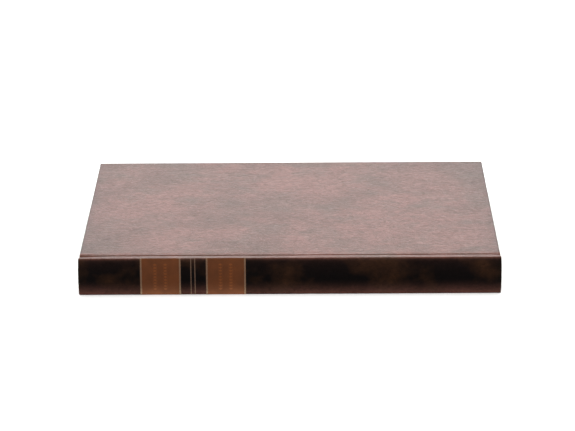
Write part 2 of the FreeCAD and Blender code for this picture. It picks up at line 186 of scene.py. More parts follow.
COLOURS = {"data_type": "RGBA", "take": 2}              # a Mix node that mixes two colours, and its result
TINT = {**COLOURS, "blend_type": "MULTIPLY"}            # a Mix node that multiplies them
MOST = {"From Min": 0.3, "From Max": 0.7}               # where most of a noise texture's values lie


def add(tree, kind, inputs=None, take=0, **settings):
    """Adds a shader node and gives its output take. inputs pairs a socket with a value, or with an output to
    link from."""
    made = tree.nodes.new("ShaderNode" + kind)
    for name, value in settings.items():
        setattr(made, name, value)
    for socket, value in (inputs or {}).items():
        if isinstance(value, bpy.types.NodeSocket):
            tree.links.new(value, made.inputs[socket])
        else:
            made.inputs[socket].default_value = value
    return made.outputs[take] if made.outputs else None


def start(name, **values):
    """A new material, its node tree, its surface shader with these values, and object coordinates."""
    material = bpy.data.materials.new(name)
    material.use_nodes = True
    tree = material.node_tree
    tree.nodes.clear()
    shader = add(tree, "BsdfPrincipled", {key.replace("_", " "): value for key, value in values.items()})
    add(tree, "OutputMaterial", {"Surface": shader})
    return material, tree, shader.node, add(tree, "TexCoord", take="Object")


def surfaced(material, surface, **outputs):
    """Links outputs to the surface shader's sockets, and gives the material back."""
    for name, output in outputs.items():
        material.node_tree.links.new(output, surface.inputs[name.replace("_", " ")])
    return material


@functools.cache
def leatherette():
    """Paper-backed PU leatherette, marble printed and hot embossed: mottled brown with fine creased grain,
    whose satin top coat turns it pale and pinkish when seen low across it. Painted shade turns it nearly
    black on the spine and over the boards' edges, with painted light near the spine's foot and shoulder; wear
    rubs it back to red-brown, and a painted highlight beside the joint does the same."""
    covers = bpy.context.scene.album_covers
    material, tree, surface, place = start(
        "Leatherette, marble printed and embossed", IOR=1.45, Specular_IOR_Level=0.04)
    # the print: two browns and a grey in large patches, and a darker pair of its own as painted shade on the
    # spine and over the edges
    moved = add(tree, "Mapping", {"Vector": place, "Location": (0.37, 0.11, 0.23)})
    patches = add(tree, "TexNoise", {
        "Vector": place, "Scale": 1 / covers.patch, "Detail": 4, "Roughness": 0.54, "Distortion": 0.5})
    greys = add(tree, "TexNoise", {
        "Vector": moved, "Scale": 1 / (0.6 * covers.patch), "Detail": 4, "Roughness": 0.6})
    rubs = add(tree, "TexNoise", {
        "Vector": moved, "Scale": 1 / (0.6 * covers.patch), "Detail": 3, "Roughness": 0.6})
    warm = add(tree, "MapRange", {"Value": patches, "From Min": 0.32, "From Max": 0.6})
    grey = add(tree, "MapRange", {"Value": greys, "From Min": 0.47, "From Max": 0.76})
    brown_rubs = add(tree, "MapRange", {"Value": rubs, "From Min": 0.46, "From Max": 0.7})
    brown = add(tree, "Mix", {0: warm, 6: (*covers.dark, 1), 7: (*covers.warm, 1)}, **COLOURS)
    print_light = add(tree, "Mix", {0: grey, 6: brown, 7: (*covers.grey, 1)}, **COLOURS)
    shaded_print = add(tree, "Mix", {
        0: brown_rubs, 6: (*covers.painted_shade, 1), 7: (*covers.painted_shade_warm, 1)}, **COLOURS)
    # painted light and shade: the darker pair where the spine and edges stand in shade, the print's own
    # colours where light falls
    painted_light = add(tree, "Attribute", attribute_name="painted_light", take="Fac")
    mottled = add(tree, "Mix", {0: painted_light, 6: shaded_print, 7: print_light}, **COLOURS)
    # embossed creases: short wavy folds along the cover's length, with painted shade in their hollows and
    # painted light on their ridges
    drawn_out = add(tree, "Mapping", {"Vector": place, "Scale": (0.62, 1, 1)})
    folds = add(tree, "TexNoise", {
        "Vector": drawn_out, "Scale": 1 / covers.crease, "Detail": 5, "Roughness": 0.68, "Distortion": 1.4})
    shade = add(tree, "MapRange", {"Value": folds, **MOST, "To Min": 0.7, "To Max": 1.3})
    crease_shaded = add(tree, "Mix", {0: 1.0, 6: mottled, 7: shade}, **TINT)
    # wear, and the painted highlight beside the joint: uneven over a few millimetres
    rubbed = add(tree, "TexNoise", {"Vector": place, "Scale": 1 / (5 * MM), "Detail": 4})
    wear_and_highlight = add(tree, "Attribute", attribute_name="wear", take="Fac")
    worn = add(tree, "Math", {0: wear_and_highlight, 1: rubbed}, operation="MULTIPLY")
    wear = add(tree, "MapRange", {"Value": worn, "From Min": 0.25, "From Max": 0.6, "To Max": 0.8})
    colour_of = add(tree, "Mix", {0: wear, 6: crease_shaded, 7: linear("6e3a2c")}, **COLOURS)
    rough = add(tree, "MapRange", {"Value": folds, **MOST, "To Min": 0.46, "To Max": 0.34})
    grain = add(tree, "TexNoise", {"Vector": place, "Scale": 1 / covers.grain, "Detail": 3, "Roughness": 0.6})
    deep = add(tree, "Bump", {"Height": folds, "Distance": 0.5 * MM, "Strength": 0.55})
    fine = add(tree, "Bump", {"Height": grain, "Distance": 0.08 * MM, "Strength": 0.6, "Normal": deep})
    return surfaced(material, surface, Base_Color=colour_of, Roughness=rough, Normal=fine)


@functools.cache
def label_leather():
    """Paste-grain skiver, dyed tan: even warm brown with a fine pebble, polished where it is tooled and
    lighter there by a painted highlight, and paler by painted light towards the spine's foot."""
    spine = bpy.context.scene.album_spine
    material, tree, surface, place = start(
        "Skiver leather, dyed tan", IOR=1.45, Specular_IOR_Level=0.15, Roughness=0.48)
    # painted light: paler leather towards the spine's foot, a painted reflection of the floor
    painted_light = add(tree, "Attribute", attribute_name="painted_light", take="Fac")
    tan = add(tree, "Mix", {0: painted_light, 6: (*spine.label, 1), 7: (*spine.label_painted_light, 1)}, **COLOURS)
    clouds = add(tree, "TexNoise", {"Vector": place, "Scale": 1 / (9 * MM), "Detail": 4})
    tone = add(tree, "MapRange", {"Value": clouds, **MOST, "To Min": 0.82, "To Max": 1.12})
    tooled = add(tree, "Attribute", attribute_name="tooled", take="Fac")
    # painted highlight: the tooled hollows lighter than the leather around them
    tooled_highlight = add(tree, "Math", {0: tooled, 1: 0.6, 2: tone}, operation="MULTIPLY_ADD")
    dyed = add(tree, "Mix", {0: 1.0, 6: tan, 7: tooled_highlight}, **TINT)
    pebble = add(tree, "TexVoronoi", {"Vector": place, "Scale": 1 / (0.7 * MM)})
    bump = add(tree, "Bump", {"Height": pebble, "Distance": 0.05 * MM, "Strength": 0.4})
    return surfaced(material, surface, Base_Color=dyed, Normal=bump)


@functools.cache
def gilt_foil():
    """Gilt foil, hot stamped and handled for years: dull gold that has rubbed through to brown in flecks."""
    spine = bpy.context.scene.album_spine
    material, tree, surface, place = start("Gilt foil, hot stamped")
    painted_light = add(tree, "Attribute", attribute_name="painted_light", take="Fac")
    # painted highlight: brighter foil towards the spine's foot, a painted reflection of the floor
    foil = add(tree, "Mix", {0: painted_light, 6: (*spine.gilt, 1), 7: (*spine.gilt_painted_light, 1)}, **COLOURS)
    rubbed = add(tree, "TexNoise", {"Vector": place, "Scale": 1 / (0.9 * MM), "Detail": 5, "Roughness": 0.7})
    lost = add(tree, "MapRange", {"Value": rubbed, "From Min": 0.52, "From Max": 0.64, "To Max": 0.8})
    wear = add(tree, "Attribute", attribute_name="wear", take="Fac")
    bare = add(tree, "Math", {0: lost, 1: wear}, operation="MAXIMUM")
    gold = add(tree, "Mix", {0: bare, 6: foil, 7: linear("3a2416")}, **COLOURS)
    metal = add(tree, "MapRange", {"Value": bare, "To Min": 0.6, "To Max": 0.0})
    rough = add(tree, "MapRange", {"Value": rubbed, "To Min": 0.3, "To Max": 0.6})
    return surfaced(material, surface, Base_Color=gold, Metallic=metal, Roughness=rough)


def fibrous(name, colour_of, fleck, flecks, fibre, roughness, depth):
    """Sheet made from pulp: a colour clouded by how the fibres settled, flecks, and a felt-like surface.
    flecks is how strongly they show, fibre how far apart they lie and depth how far they stand out."""
    material, tree, surface, place = start(name, IOR=1.5, Specular_IOR_Level=0.05, Roughness=roughness)
    clouds = add(tree, "TexNoise", {"Vector": place, "Scale": 1 / (14 * MM), "Detail": 5})
    tone = add(tree, "MapRange", {"Value": clouds, **MOST, "To Min": 0.93, "To Max": 1.03})
    base = add(tree, "Mix", {0: 1.0, 6: colour_of, 7: tone}, **TINT)
    specks = add(tree, "TexNoise", {"Vector": place, "Scale": 1 / fibre, "Detail": 3, "Roughness": 0.7})
    seen = add(tree, "MapRange", {"Value": specks, "From Min": 0.62, "From Max": 0.74, "To Max": flecks})
    pulp = add(tree, "Mix", {0: seen, 6: base, 7: fleck}, **COLOURS)
    bump = add(tree, "Bump", {"Height": specks, "Distance": depth, "Strength": 0.5})
    return surfaced(material, surface, Base_Color=pulp, Normal=bump)


@functools.cache
def greyboard():
    """Greyboard, pressed from recycled pulp: dull grey-brown with dark flecks."""
    return fibrous("Greyboard, pressed pulp", linear("8f8678"), linear("4e463c"), flecks=0.7,
                   fibre=0.8 * MM, roughness=0.9, depth=0.06 * MM)


@functools.cache
def stock_card():
    """Stock card, calendered: smooth cream with a faint cloud and hardly any fleck."""
    card = (*bpy.context.scene.album_block.card, 1)
    return fibrous("Stock card, calendered", card, linear("cfc3a8"), flecks=0.35,
                   fibre=0.9 * MM, roughness=0.62, depth=0.02 * MM)


@functools.cache
def endpaper():
    """Cartridge paper, uncoated: warm white with a soft tooth."""
    paper = (*bpy.context.scene.album_block.paper, 1)
    return fibrous("Cartridge paper, uncoated", paper, linear("c9bda0"), flecks=0.4,
                   fibre=0.6 * MM, roughness=0.85, depth=0.03 * MM)


@functools.cache
def kraft_paper():
    """Kraft paper, machine glazed: brown with long pale fibres."""
    return fibrous("Kraft paper, machine glazed", linear("9c7448"), linear("c9a878"), flecks=0.6,
                   fibre=1.2 * MM, roughness=0.6, depth=0.04 * MM)


@functools.cache
def glassine():
    """Glassine, supercalendered until it is clear: milky, smooth and see-through, with faint clouding."""
    block = bpy.context.scene.album_block
    material, tree, surface, place = start(
        "Glassine, supercalendered", IOR=1.5, Roughness=0.3, Alpha=0.34, Specular_IOR_Level=0.05)
    clouds = add(tree, "TexNoise", {"Vector": place, "Scale": 1 / (3 * MM), "Detail": 5, "Roughness": 0.65})
    tone = add(tree, "MapRange", {"Value": clouds, **MOST, "To Min": 0.9, "To Max": 1.04})
    milky = add(tree, "Mix", {0: 1.0, 6: (*block.glassine, 1), 7: tone}, **TINT)
    cockle = add(tree, "TexNoise", {"Vector": place, "Scale": 1 / (16 * MM), "Detail": 2})
    bump = add(tree, "Bump", {"Height": cockle, "Distance": 0.4 * MM, "Strength": 0.25})
    return surfaced(material, surface, Base_Color=milky, Normal=bump)


def woven(name, colour_of, shadow, thread, openness, axes):
    """Plain weave along two axes: threads this far apart, with the gaps between them darker by openness."""
    material, tree, surface, place = start(
        name, Roughness=0.88, Sheen_Weight=0.25, Sheen_Roughness=0.5, Specular_IOR_Level=0.2)
    ribs = [add(tree, "TexWave", {"Vector": place, "Scale": WAVE_REPEAT / thread, "Distortion": 0.6,
                                  "Detail": 1}, bands_direction=axis, take="Fac") for axis in axes]
    threads = add(tree, "Math", {0: ribs[0], 1: ribs[1]}, operation="MAXIMUM")
    dark = add(tree, "MapRange", {"Value": threads, "From Max": 0.7, "To Min": openness, "To Max": 0.0})
    cloth = add(tree, "Mix", {0: dark, 6: colour_of, 7: shadow}, **COLOURS)
    bump = add(tree, "Bump", {"Height": threads, "Distance": 0.12 * MM, "Strength": 0.7})
    return surfaced(material, surface, Base_Color=cloth, Normal=bump)


@functools.cache
def linen(axes):
    """Bleached linen, plain woven: off-white, matt, with slightly uneven threads 0.7 mm apart, drawn a little
    coarser than real ones so that they show."""
    cloth = (*bpy.context.scene.album_block.linen, 1)
    return woven("Linen, bleached and woven " + axes, cloth, linear("a59c88"), 0.7 * MM, 0.6, axes)


@functools.cache
def mull():
    """Mull, starched open cotton gauze: pale threads over a millimetre apart with glue-dark gaps."""
    return woven("Mull, starched gauze", linear("d9d2bd"), linear("6d5a42"), 1.3 * MM, 0.95, "XZ")


@functools.cache
def headband_silk():
    """Headband silk, wound over a cord: red and cream turns about a millimetre wide, with a soft sheen."""
    material, tree, surface, place = start("Silk thread, wound over cord", Roughness=0.5, Sheen_Weight=0.35,
                                           Sheen_Roughness=0.35, Specular_IOR_Level=0.4)
    turn = add(tree, "Attribute", attribute_name="turn", take="Fac")
    band = add(tree, "Math", {0: turn, 1: 0.5}, operation="GREATER_THAN")
    striped = add(tree, "Mix", {0: band, 6: linear("e2d6b8"), 7: linear("8c2420")}, **COLOURS)
    fuzz = add(tree, "TexNoise", {"Vector": place, "Scale": 1 / (0.3 * MM), "Detail": 3})
    tone = add(tree, "MapRange", {"Value": fuzz, "To Min": 0.75, "To Max": 1.15})
    silk = add(tree, "Mix", {0: 1.0, 6: striped, 7: tone}, **TINT)
    return surfaced(material, surface, Base_Color=silk)


@functools.cache
def floor_vinyl():
    """Studio vinyl, matt rolled: near white with the faintest cloud."""
    stage = bpy.context.scene.album_stage
    material, tree, surface, place = start("Vinyl sweep, matt rolled", Roughness=0.7, Specular_IOR_Level=0.15)
    clouds = add(tree, "TexNoise", {"Vector": place, "Scale": 1 / (400 * MM), "Detail": 2})
    tone = add(tree, "MapRange", {"Value": clouds, "To Min": 0.985, "To Max": 1.0})
    pale = add(tree, "Mix", {0: 1.0, 6: (*stage.floor, 1), 7: tone}, **TINT)
    return surfaced(material, surface, Base_Color=pale)


# ------------ mesh tools


def points_at(x, y, z):
    """Points from their coordinates, which are arrays or a single number for all."""
    return np.stack(np.broadcast_arrays(x, y, z), axis=-1)


def quads(index):
    """Faces of a grid of vertex numbers."""
    a, b, c, d = index[:-1, :-1], index[1:, :-1], index[1:, 1:], index[:-1, 1:]
    return np.stack([a, b, c, d], axis=-1).reshape(-1, 4).tolist()


def piece(name, points, faces, material, attributes=None):
    """A smooth-shaded object from points and faces, with its faces turned outwards."""
    mesh = bpy.data.meshes.new(name)
    mesh.from_pydata(np.asarray(points).reshape(-1, 3).tolist(), [], faces)
    edit = bmesh.new()
    edit.from_mesh(mesh)
    bmesh.ops.recalc_face_normals(edit, faces=edit.faces)
    edit.to_mesh(mesh)
    edit.free()
    mesh.polygons.foreach_set("use_smooth", [True] * len(mesh.polygons))
    mesh.set_sharp_from_angle(angle=math.radians(50))
    for key, values in (attributes or {}).items():
        attribute = mesh.attributes.new(key, "FLOAT", "POINT")
        attribute.data.foreach_set("value", np.asarray(values, float).ravel())
    mesh.materials.append(material)
    made = bpy.data.objects.new(name, mesh)
    bpy.context.scene.collection.objects.link(made)
    return made


def closed_sheet(grid, thickness):
    """Points and faces of a closed sheet of this thickness, centred on a grid of points."""
    rows, columns = grid.shape[:2]
    normal = np.cross(np.gradient(grid, axis=0), np.gradient(grid, axis=1))
    half = normal / np.linalg.norm(normal, axis=2, keepdims=True) * thickness / 2
    index = np.arange(rows * columns).reshape(rows, columns)
    rim = np.array([*index[0], *index[1:, -1], *index[-1, -2::-1], *index[-2:0:-1, 0]])
    after = np.roll(rim, -1)
    edge = np.stack([rim, after, after + index.size, rim + index.size], axis=-1).tolist()
    points = np.concatenate([(grid + half).reshape(-1, 3), (grid - half).reshape(-1, 3)])
    return points, quads(index) + quads(index + index.size) + edge


def sheets(name, grids, thickness, material, attributes=None):
    """One object made of closed sheets, one on each grid. An attribute's values are for a single grid."""
    points, faces, used = [], [], 0
    for grid in grids:
        own, around = closed_sheet(grid, thickness)
        points.append(own)
        faces += [[corner + used for corner in face] for face in around]
        used += len(own)
    both = {key: np.tile(np.ravel(values), 2) for key, values in (attributes or {}).items()}
    return piece(name, np.concatenate(points), faces, material, both)


def curve_through(points, steps):
    """A smooth path (Catmull-Rom) through points, with this many steps from each to the next."""
    p = np.array(points, float)
    p = np.vstack([2 * p[0] - p[1], p, 2 * p[-1] - p[-2]])
    path = []
    for a, b, c, d in zip(p, p[1:], p[2:], p[3:]):
        for t in np.arange(steps) / steps:
            path.append(b + 0.5 * t * (c - a + t * (2 * a - 5 * b + 4 * c - d + t * (3 * (b - c) + d - a))))
    return np.array(path + [p[-2]])


def ripple(points, size, seed):
    """Smooth noise from -1 to 1 over points, with features of about this size."""
    shape = np.shape(points)[:-1]
    flat = np.reshape(points, (-1, 3)) / size
    shift = Vector((seed * 17.3, seed * 5.1, seed * 9.7))
    return np.array([noise.noise(Vector(p) + shift) for p in flat]).reshape(shape)


def smoothstep(t):
    """From 0 to 1 as t does, with a soft start and end."""
    t = np.clip(t, 0, 1)
    return t * t * (3 - 2 * t)


def close_to_ends(low, high, step, reach, fine):
    """Positions from low to high, a step apart but closer within reach of both ends."""
    near = np.linspace(0, reach, fine, endpoint=False)
    count = int(round((high - low - 2 * reach) / step)) + 1
    return np.concatenate([low + near, np.linspace(low + reach, high - reach, count), high - near[::-1]])


def outer_z(side, depth):
    """The height that lies this far below a cover's outer face."""
    return ALBUM_HEIGHT - depth if side == "front" else depth


def texture(node, material):
    """Gives a carried-over CAD node its material."""
    frame["nodes"][node].material_slots[0].material = material


def soften(node, width):
    """Breaks the sharp edges of a carried-over CAD node."""
    bevel = frame["nodes"][node].modifiers.new("Softened edges", "BEVEL")
    bevel.width = width
    bevel.segments = 2
    bevel.limit_method = "ANGLE"


# ------------ covers


def cover_points(grid_x, grid_y, inset, depth, side):
    """Points of a cover at fractions of its width and depth, inset from three edges, with rounded corners."""
    covers = bpy.context.scene.album_covers
    half, fore = COVER_HIGH.x, COVER_HIGH.y
    x = grid_x * (half - inset)
    y = BOARD_EDGE + grid_y * (fore - inset - BOARD_EDGE)
    past_x = np.abs(x) - (half - covers.corner_round)
    past_y = y - (fore - covers.corner_round)
    corner = (past_x > 0) & (past_y > 0)
    reach = np.where(corner, np.maximum(past_x, past_y) / np.maximum(np.hypot(past_x, past_y), NO_SIZE), 1)
    x = np.where(corner, np.sign(x) * (half - covers.corner_round + past_x * reach), x)
    y = np.where(corner, fore - covers.corner_round + past_y * reach, y)
    # a face is never quite flat, and an edge never quite straight
    seed = 1 if side == "front" else 2
    hollow = 0.05 * MM * (1.2 + ripple(points_at(x, y, 0), 55 * MM, seed))
    slope = EDGE_DROP * np.exp((BOARD_EDGE - y) / (1.3 * MM)) * (depth < COVER_DEPTH / 2)
    points = points_at(x, y, outer_z(side, depth + hollow + slope))
    wobble = 0.06 * MM * ripple(points, 28 * MM, seed + 2)
    points[..., 0] += np.sign(x) * wobble * (np.abs(grid_x) > 0.98)
    points[..., 1] += wobble * (grid_y > 0.98)
    return points


def cover_finish(points):
    """How rubbed a cover is, most of all at its corners, with a painted highlight along its edge beside the
    joint;
    and how much painted light its print gets: painted shade over the edges, and a little towards them."""
    to_side = np.maximum(COVER_HIGH.x - np.abs(points[..., 0]), 0)
    to_fore = np.maximum(COVER_HIGH.y - points[..., 1], 0)
    edge = np.exp(-np.minimum(to_side, to_fore) / (0.5 * MM))
    corner = np.exp(-np.hypot(to_side, to_fore) / (3.5 * MM))
    towards_edge = 0.3 * np.exp(-to_side / (13 * MM)) + 0.1 * np.exp(-to_fore / (10 * MM))
    # a painted highlight along the cover's edge beside the joint, added to the wear
    joint_highlight = np.exp(-((points[..., 1] - BOARD_EDGE - 0.9 * MM) / (1.3 * MM)) ** 2)
    wear = np.clip(0.35 * edge + 0.8 * corner + 0.85 * joint_highlight, 0, 1)
    # painted shade: darker over the edges and a little towards them
    return {"wear": wear, "painted_light": np.clip(1 - 0.8 * edge - towards_edge, 0, 1)}


def cover(side):
    """One board in its leatherette: both faces, and edges rounded over on three sides."""
    covers = bpy.context.scene.album_covers
    round_out, round_in = covers.edge_round, 0.6 * MM
    half, depth = COVER_HIGH.x, COVER_HIGH.y - BOARD_EDGE
    step, fine = 2.2 * MM, 7
    across = close_to_ends(-half, half, step, covers.corner_round, fine) / half
    along = close_to_ends(0, depth, step, covers.corner_round, fine) / depth
    grid_x, grid_y = np.meshgrid(across, along, indexing="ij")
    turns = np.linspace(0, math.pi / 2, 6)
    profile = [(round_out * (1 - math.sin(a)), round_out * (1 - math.cos(a))) for a in turns]
    profile += [(round_in * (1 - math.cos(a)), COVER_DEPTH - round_in * (1 - math.sin(a))) for a in turns]
    rows, columns = grid_x.shape
    rim = [(0, j) for j in range(columns)] + [(i, columns - 1) for i in range(1, rows)]
    rim += [(rows - 1, j) for j in range(columns - 2, -1, -1)]
    i, j = np.array(rim).T
    outside = cover_points(grid_x, grid_y, *profile[0], side)
    inside = cover_points(grid_x, grid_y, *profile[-1], side)
    rings = [cover_points(grid_x[i, j], grid_y[i, j], inset, deep, side) for inset, deep in profile[1:-1]]
    points = np.concatenate([outside.reshape(-1, 3), inside.reshape(-1, 3), *rings])
    top = np.arange(rows * columns).reshape(rows, columns)
    bottom = top + top.size
    bands = [top[i, j]] + [2 * top.size + k * len(rim) + np.arange(len(rim)) for k in range(len(rings))]
    bands.append(bottom[i, j])
    faces = quads(top) + quads(bottom) + quads(np.array(bands))
    # the side towards the joint is a flat wall
    faces += quads(np.array([top[:, 0], bottom[:, 0]]))
    faces += [[int(band[end]) for band in bands] for end in (0, -1)]
    made = piece(f"{side}_cover_leatherette", points, faces, leatherette(), cover_finish(points))
    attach(made, f"{side}_cover")
    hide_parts(f"{side}_leatherette")


class STAMP_ALBUM_OT_covers(bpy.types.Operator):
    """Builds both covers over their greyboards"""

    bl_idname = "stamp_album.covers"
    bl_label = "Covers"

    def execute(self, context):
        for side in ("front", "back"):
            cover(side)
            texture(f"{side}_board", greyboard())
        return {"FINISHED"}


def joint_path(lap):
    """The joint's section, as y and depth below the cover's face. It starts with a lap glued down the spine's
    inner face, dips into the groove, and ends flush with the cover's face."""
    groove = bpy.context.scene.album_covers.groove
    ridge = ALBUM_HEIGHT - SPINE_HIGH.z
    spine_side = SPINE_HIGH.y
    path = [(lap, ridge + 3.2 * MM), (lap, ridge + 1.6 * MM), (lap + 0.02 * MM, ridge + 0.3 * MM),
            (lap + 0.3 * MM, ridge), (spine_side + 1.6 * MM, ridge + 0.02 * MM),
            (spine_side + 2.6 * MM, ridge + 0.14 * groove), (spine_side + 3.4 * MM, ridge + 0.36 * groove)]
    # the groove beside the cover: distance from the cover's edge, and share of the groove's depth
    section = ((3.4, 0.9), (2.9, 1), (2.5, 0.9), (2.2, 0.62), (1.85, 0.38), (1.2, 0.26))
    path += [(BOARD_EDGE - away * MM, share * groove) for away, share in section]
    path += [(BOARD_EDGE - 0.5 * MM, EDGE_DROP + 0.01 * MM), (BOARD_EDGE, EDGE_DROP)]
    return curve_through(path, 4)


def joint_grid(side, seed, path, lap):
    """The joint's middle surface. The sheet is loose between its two glued edges: it ripples there, and sinks
    further at head and tail."""
    x = close_to_ends(-COVER_HIGH.x, COVER_HIGH.x, 1.6 * MM, 2 * MM, 5)
    across, y = np.meshgrid(x, path[:, 0])
    flat = points_at(across, y, 0)
    glued = lap + 0.4 * MM
    loose = np.sin(np.pi * np.clip((y - glued) / (BOARD_EDGE - glued), 0, 1)) ** 0.7
    sunk = 0.65 * MM * np.exp((-COVER_HIGH.x - across) / (9 * MM))
    sunk = sunk + 0.1 * MM * np.exp((-COVER_HIGH.x - across) / (45 * MM))
    sunk = sunk + 0.4 * MM * np.exp((across - COVER_HIGH.x) / (5 * MM))
    wave = 0.2 * MM * ripple(flat, 19 * MM, seed + 5) + sunk + 0.08 * MM * ripple(flat, 6 * MM, seed + 7)
    shoulder = np.exp(-np.abs(y - SPINE_HIGH.y - 0.8 * MM) / (0.8 * MM))
    dents = 0.14 * MM * ripple(flat, 13 * MM, seed + 3)
    depth = np.maximum(path[:, 1, None] + loose * wave + shoulder * dents, 0.02 * MM) + LEATHERETTE / 2
    y = y + loose * 0.45 * MM * ripple(flat, 24 * MM, seed + 9)
    return points_at(across, y, outer_z(side, depth))


class STAMP_ALBUM_OT_joints(bpy.types.Operator):
    """Builds the flexible leatherette of the two French joints"""

    bl_idname = "stamp_album.joints"
    bl_label = "French joints"

    def execute(self, context):
        lap = SPINE_HIGH.y + LEATHERETTE / 2
        path = joint_path(lap)
        for seed, side in enumerate(("front", "back")):
            grid = joint_grid(side, seed, path, lap)
            finish = {"painted_light": np.ones(grid.shape[:2]), "wear": np.zeros(grid.shape[:2])}
            made = sheets(f"{side}_joint_leatherette", [grid], LEATHERETTE, leatherette(), finish)
            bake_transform(made)
            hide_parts(f"{side}_joint")
        return {"FINISHED"}


# ------------ spine


CROWN = 0.8 * MM                # how far the spine's middle stands out from its edges
HALF_HEIGHT = (SPINE_HIGH.z - SPINE_LOW.z) / 2 + 0.13 * MM
CROWN_RADIUS = (HALF_HEIGHT ** 2 + CROWN ** 2) / (2 * CROWN)
CROWN_CENTRE = SPINE_LOW.y + CROWN_RADIUS
LABEL_EDGE = math.radians(20)   # how far round the spine's rounded edge the labels and gilt lines begin


def spine_outline(z):
    """The y of the spine's face, and its outward direction, at heights z: a crown between rounded edges."""
    edge = bpy.context.scene.album_spine.edge_round
    rise = z - MIDDLE
    inner = HALF_HEIGHT - edge
    edge_y = CROWN_CENTRE - math.sqrt((CROWN_RADIUS - edge) ** 2 - inner ** 2)
    over = np.abs(rise) - inner * CROWN_RADIUS / (CROWN_RADIUS - edge)
    crown = CROWN_CENTRE - np.sqrt(CROWN_RADIUS ** 2 - rise ** 2)
    bend = edge_y - np.sqrt(np.maximum(edge ** 2 - (np.abs(rise) - inner) ** 2, 0))
    y = np.where(over > 0, bend, crown)
    normal_y = np.where(over > 0, (bend - edge_y) / edge, (crown - CROWN_CENTRE) / CROWN_RADIUS)
    normal_z = np.where(over > 0, np.sign(rise) * (np.abs(rise) - inner) / edge, rise / CROWN_RADIUS)
    return y, normal_y, normal_z


def spine_painted_light(z, shoulder_highlight):
    """How much painted light falls at heights z on the spine: a painted reflection of the floor up from the
    foot, and a painted highlight at the shoulder, scaled by the second argument.
    """
    # painted reflection of the floor, rising towards the foot
    foot = np.clip(1 - z / (13 * MM), 0, 1) ** 2.6
    below = np.maximum(SPINE_HIGH.z - z, 0)
    # painted highlight along the shoulder
    shoulder = shoulder_highlight * np.exp(-below / (0.65 * MM)) + 0.1 * np.exp(-below / (5 * MM))
    return np.clip(foot + shoulder, 0, 1)


def face_heights(count, turns, first=0.0):
    """Heights over the spine's face: count of them on its crown, and turns on each of its rounded edges, from
    the angle first on."""
    edge = bpy.context.scene.album_spine.edge_round
    turn = edge * (1 - np.cos(np.linspace(first, math.pi / 2, turns + 1)[:-1]))
    middle = MIDDLE + np.linspace(edge - HALF_HEIGHT, HALF_HEIGHT - edge, count)
    return np.concatenate([MIDDLE - HALF_HEIGHT + turn, middle, MIDDLE + HALF_HEIGHT - turn[::-1]])


def on_spine(x, z, lift):
    """Points on the spine's slightly uneven face, lifted off it."""
    y, normal_y, normal_z = spine_outline(z)
    flat = points_at(x, 0, z)
    off = lift + 0.05 * MM * ripple(flat, 21 * MM, 11) + 0.015 * MM * ripple(flat, 5 * MM, 12)
    return points_at(x, y + off * normal_y, z + off * normal_z)


class STAMP_ALBUM_OT_spine(bpy.types.Operator):
    """Builds the spine's leatherette, with swollen caps at head and tail"""

    bl_idname = "stamp_album.spine"
    bl_label = "Spine"

    def execute(self, context):
        spine = context.scene.album_spine
        half = BOX["spine_board"][1].x + 0.15 * MM
        round_end = 1.0 * MM
        turn = round_end * (1 - np.cos(np.linspace(0, math.pi / 2, 6)[:-1]))
        straight = np.linspace(-half + round_end, half - round_end, 190)
        x = np.concatenate([-half + turn, straight, half - turn[::-1]])
        z = face_heights(30, 8)
        columns = 7
        # a lattice through the section: its rim gives the sides, and at head and tail all of it gives the cap
        lattice_x, lattice_z = np.meshgrid(x, z, indexing="ij")
        face = on_spine(lattice_x, lattice_z, 0)
        back = points_at(lattice_x, SPINE_HIGH.y, lattice_z)
        share = np.linspace(0, 1, columns)[None, None, :, None]
        block = face[:, :, None] * (1 - share) + back[:, :, None] * share
        to_end = np.maximum(np.abs(x) - (half - round_end), 0) / round_end
        shrink = (0.6 * round_end * (1 - np.sqrt(1 - np.minimum(to_end, 1) ** 2)))[:, None, None]
        centre_y = (SPINE_LOW.y + SPINE_HIGH.y) / 2
        block[..., 1] -= (block[..., 1] - centre_y) / (SPINE_HIGH.y - centre_y) * shrink
        block[..., 2] -= (block[..., 2] - MIDDLE) / HALF_HEIGHT * shrink
        swell = spine.end_bulge * (1 - ((block[..., 2] - MIDDLE) / HALF_HEIGHT) ** 2)
        near_end = smoothstep((np.abs(block[..., 0]) - half) / (9 * MM) + 1)
        block[..., 0] += np.sign(block[..., 0]) * swell * near_end
        index = np.arange(block[..., 0].size).reshape(block.shape[:3])
        faces = quads(index[:, :, 0]) + quads(index[:, :, -1]) + quads(index[:, 0]) + quads(index[:, -1])
        faces += quads(index[0]) + quads(index[-1])
        used = np.unique(np.array(faces))
        renumber = np.zeros(index.size, int)
        renumber[used] = np.arange(len(used))
        points = block.reshape(-1, 3)[used]
        foot = np.exp(-np.maximum(points[:, 2] - SPINE_LOW.z, 0) / (0.3 * MM))
        cap = np.exp(-np.maximum(half + spine.end_bulge - np.abs(points[:, 0]), 0) / (1.2 * MM))
        # wear at the foot and caps; painted light near the foot and shoulder, painted shade over the rest of
        # the face
        finish = {"wear": np.clip(0.6 * foot + 0.5 * cap, 0, 1), "painted_light": spine_painted_light(points[:, 2], 1)}
        faces = renumber[np.array(faces)].tolist()
        made = piece("spine_leatherette_shell", points, faces, leatherette(), finish)
        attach(made, "spine")
        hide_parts("spine_leatherette")
        texture("spine_board", greyboard())
        return {"FINISHED"}


